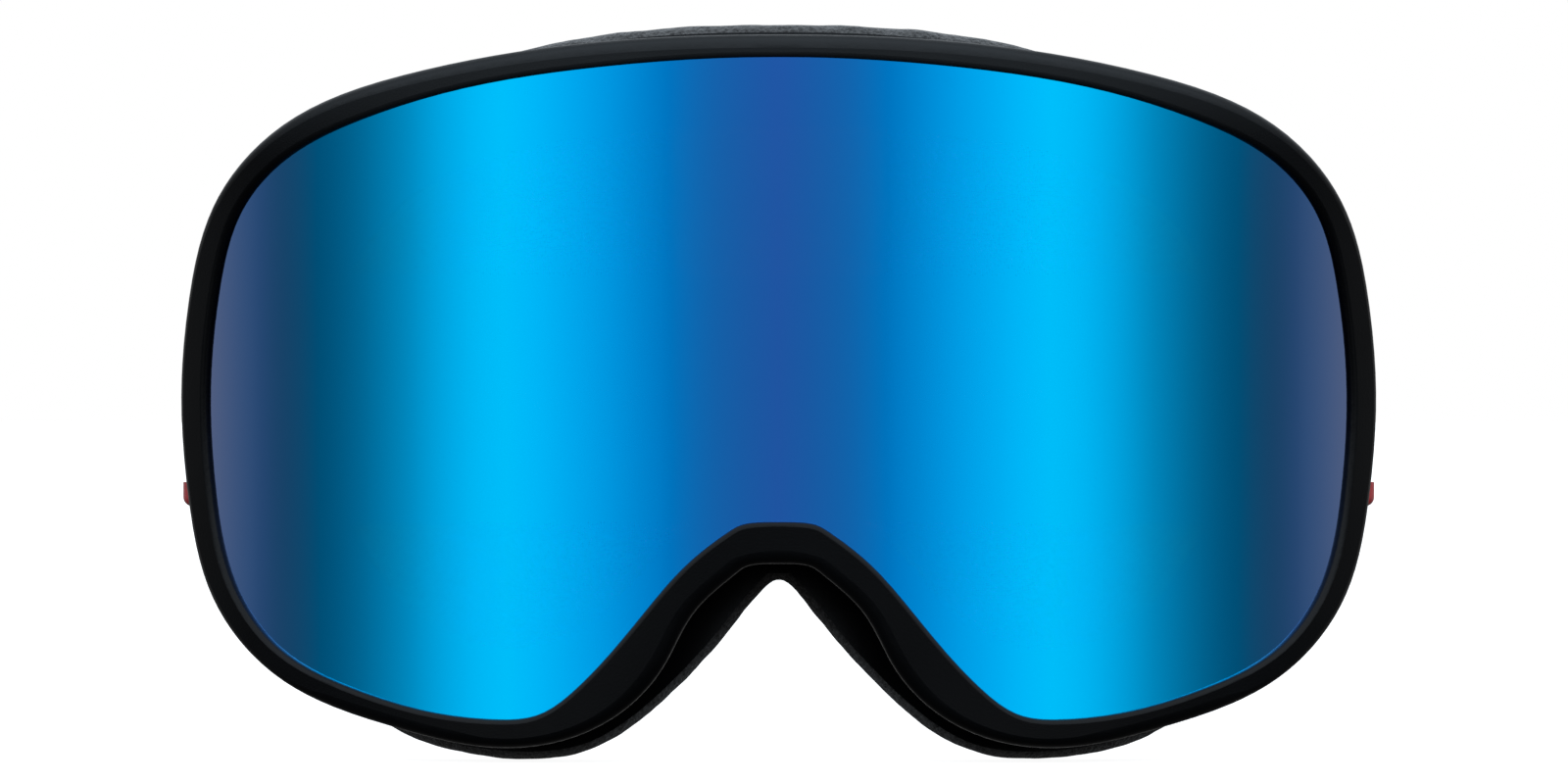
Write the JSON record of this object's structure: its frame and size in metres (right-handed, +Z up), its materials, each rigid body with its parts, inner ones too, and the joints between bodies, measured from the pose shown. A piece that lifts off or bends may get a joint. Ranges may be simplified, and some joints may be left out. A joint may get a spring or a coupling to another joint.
{
  "type": "ski goggles",
  "caption": "Ski goggles with a mirrored cylindrical double lens in a vented frame, layered face foam, swinging strap links and an adjustable elastic strap.",
  "frame": {"origin": "middle of the face seat, on the mid plane and level with the widest part of the frame", "axes": "+Z up, +Y backwards towards the wearer's face, +X to the right seen from the front"},
  "size_m": [0.1814, 0.2344, 0.1101],
  "materials": {
    "frame_plastic": "satin",
    "mirror_lens": "gloss",
    "clear_lens": "gloss",
    "foam": "matte",
    "foam_light": "matte",
    "fleece": "matte",
    "pin_red": "satin",
    "elastic": "matte",
    "silicone": "satin",
    "slider_plastic": "satin"
  },
  "bodies": {
    "mask": {"frame": "frame_plastic", "outer_lens": "mirror_lens", "lens_spacer": "foam", "inner_lens": "clear_lens", "pressure_valve": "frame_plastic", "top_vent_foam": "foam", "low_vent_foam_right": "foam", "low_vent_foam_left": "foam", "base_foam": "foam", "comfort_foam": "foam_light", "face_liner": "fleece", "hinge_pin_right": "pin_red", "hinge_pin_left": "pin_red", "strap": "elastic", "silicone_grip": "silicone", "strap_tail_right": "elastic", "strap_tail_left": "elastic"},
    "strap_link_right": {"strap_link_right": "frame_plastic", "strap_loop_right": "elastic"},
    "strap_link_left": {"strap_link_left": "frame_plastic", "strap_loop_left": "elastic"},
    "strap_slider_right": {"strap_slider_right": "slider_plastic"},
    "strap_slider_left": {"strap_slider_left": "slider_plastic"}
  },
  "joints": [
    {"name": "strap_link_right_swing", "type": "hinge", "parent": "mask", "child": "strap_link_right", "pos_m": [0.0869, 0.021, -0.001], "axis": [0, 0, -1], "range_deg": [-10, 25]},
    {"name": "strap_slider_right_slide", "type": "slide", "parent": "mask", "child": "strap_slider_right", "axis": [-0.1392, 0.9903, 0], "range_m": [-0.012, 0.024]},
    {"name": "strap_link_left_swing", "type": "hinge", "parent": "mask", "child": "strap_link_left", "pos_m": [-0.0869, 0.021, -0.001], "axis": [0, 0, 1], "range_deg": [-10, 25]},
    {"name": "strap_slider_left_slide", "type": "slide", "parent": "mask", "child": "strap_slider_left", "axis": [0.1392, 0.9903, 0], "range_m": [-0.012, 0.024]}
  ]
}
